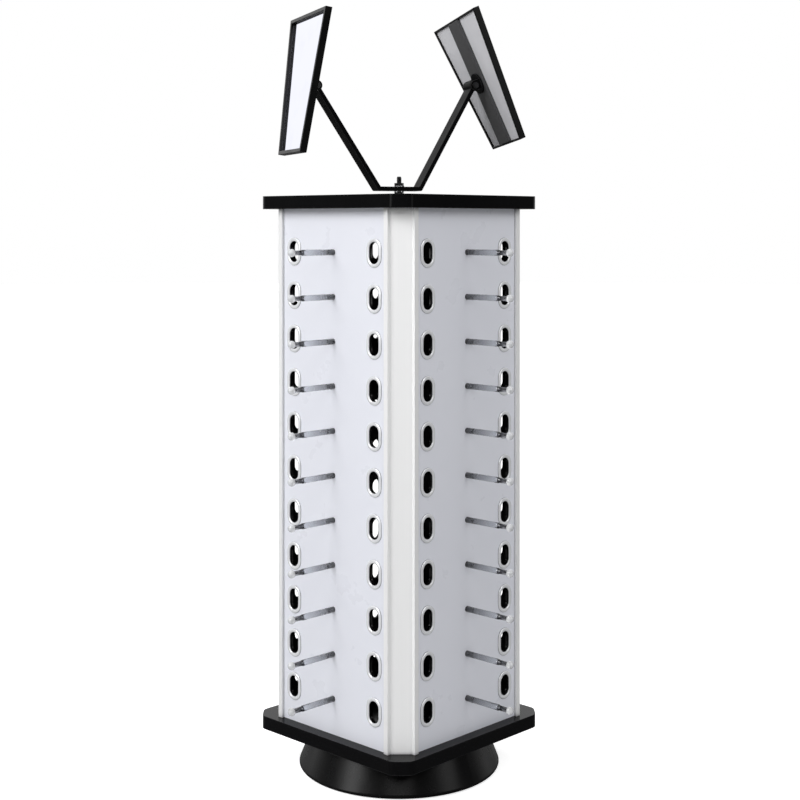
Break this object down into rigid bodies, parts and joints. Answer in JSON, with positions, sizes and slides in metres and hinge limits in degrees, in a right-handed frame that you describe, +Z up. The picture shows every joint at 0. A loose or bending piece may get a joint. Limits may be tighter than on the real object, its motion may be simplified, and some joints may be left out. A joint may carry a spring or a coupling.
{
  "type": "rotating eyeglass display rack",
  "caption": "Four-sided turning tower on a round base holding spectacles on pegs, with temple holes and two adjustable mirrors on a bent bracket.",
  "frame": {"origin": "centre of the underside of the base, on the table, on the tower's turning axis", "axes": "+Z up along the turning axis; the tower's four panels face -Y, +X, +Y and -X at rest"},
  "size_m": [0.345, 0.345, 0.883],
  "materials": {
    "pad_rubber": "matt non-slip rubber",
    "weight_steel": "plain steel disc",
    "base_black": "satin-gloss black moulded ABS",
    "zinc": "bright zinc-plated steel",
    "rod_black": "blackened steel",
    "race_steel": "pressed steel, lightly greased",
    "cage_nylon": "natural nylon",
    "ball_steel": "polished bearing steel",
    "plate_black": "gloss black moulded ABS",
    "post_aluminium": "pale anodised extrusion",
    "panel_white": "semi-gloss white sheet, black inner face",
    "grommet_chrome": "bright plated plastic",
    "peg_clear": "clear acrylic",
    "bracket_black": "black enamel",
    "yoke_black": "black enamel",
    "frame_black": "black moulded plastic",
    "mirror_glass": "silvered glass",
    "back_grey": "light grey sheet",
    "spine_grey": "dark grey channel"
  },
  "bodies": {
    "base": {"base_pad": "pad_rubber", "base_weight": "weight_steel", "weight_screws": "zinc", "base_shell": "base_black", "race_lower": "race_steel", "race_screws_lower": "zinc"},
    "ball_ring": {"ball_cage": "cage_nylon", "bearing_balls": "ball_steel"},
    "tower": {"race_upper": "race_steel", "race_screws_upper": "zinc", "bottom_plate": "plate_black", "top_plate": "plate_black", "post_se": "post_aluminium", "post_ne": "post_aluminium", "post_nw": "post_aluminium", "post_sw": "post_aluminium", "panel_south": "panel_white", "panel_east": "panel_white", "panel_north": "panel_white", "panel_west": "panel_white", "grommets_south": "grommet_chrome", "grommets_east": "grommet_chrome", "grommets_north": "grommet_chrome", "grommets_west": "grommet_chrome", "pegs_south": "peg_clear", "pegs_east": "peg_clear", "pegs_north": "peg_clear", "pegs_west": "peg_clear", "peg_screws_south": "zinc", "peg_screws_east": "zinc", "peg_screws_north": "zinc", "peg_screws_west": "zinc", "tie_rod": "rod_black", "rod_nuts": "rod_black", "rod_washers": "zinc"},
    "bracket": {"mirror_bracket": "bracket_black"},
    "yoke_r": {"yoke_right": "yoke_black", "tilt_pin_right": "rod_black", "swivel_rivet_right": "zinc"},
    "mirror_r": {"frame_right": "frame_black", "glass_right": "mirror_glass", "back_right": "back_grey", "spine_right": "spine_grey"},
    "yoke_l": {"yoke_left": "yoke_black", "tilt_pin_left": "rod_black", "swivel_rivet_left": "zinc"},
    "mirror_l": {"frame_left": "frame_black", "glass_left": "mirror_glass", "back_left": "back_grey", "spine_left": "spine_grey"}
  },
  "joints": [
    {"name": "tower_turn", "type": "hinge", "parent": "base", "child": "tower", "pos_m": [0, 0, 0.0435], "axis": [0, 0, 1], "continuous": true},
    {"name": "ball_ring_turn", "type": "hinge", "parent": "base", "child": "ball_ring", "pos_m": [0, 0, 0.0405], "axis": [0, 0, 1], "continuous": true},
    {"name": "bracket_turn", "type": "hinge", "parent": "tower", "child": "bracket", "pos_m": [0, 0, 0.6712], "axis": [0, 0, 1], "continuous": true},
    {"name": "mirror_tilt_right", "type": "hinge", "parent": "bracket", "child": "yoke_r", "pos_m": [0.03795, 0.08524, 0.79509], "axis": [0.9135, -0.4067, 0], "range_deg": [-37, 37]},
    {"name": "mirror_swivel_right", "type": "hinge", "parent": "yoke_r", "child": "mirror_r", "pos_m": [0.03795, 0.08524, 0.79509], "axis": [0.3744, 0.8409, 0.3907], "continuous": true},
    {"name": "mirror_tilt_left", "type": "hinge", "parent": "bracket", "child": "yoke_l", "pos_m": [-0.04263, -0.09575, 0.78813], "axis": [-0.9135, 0.4067, 0], "range_deg": [-22, 52]},
    {"name": "mirror_swivel_left", "type": "hinge", "parent": "yoke_l", "child": "mirror_l", "pos_m": [-0.04263, -0.09575, 0.78813], "axis": [-0.4028, -0.9047, 0.1392], "continuous": true}
  ],
  "couplings": [
    {"joint": "ball_ring_turn", "follows": "tower_turn", "ratio": 0.5}
  ]
}
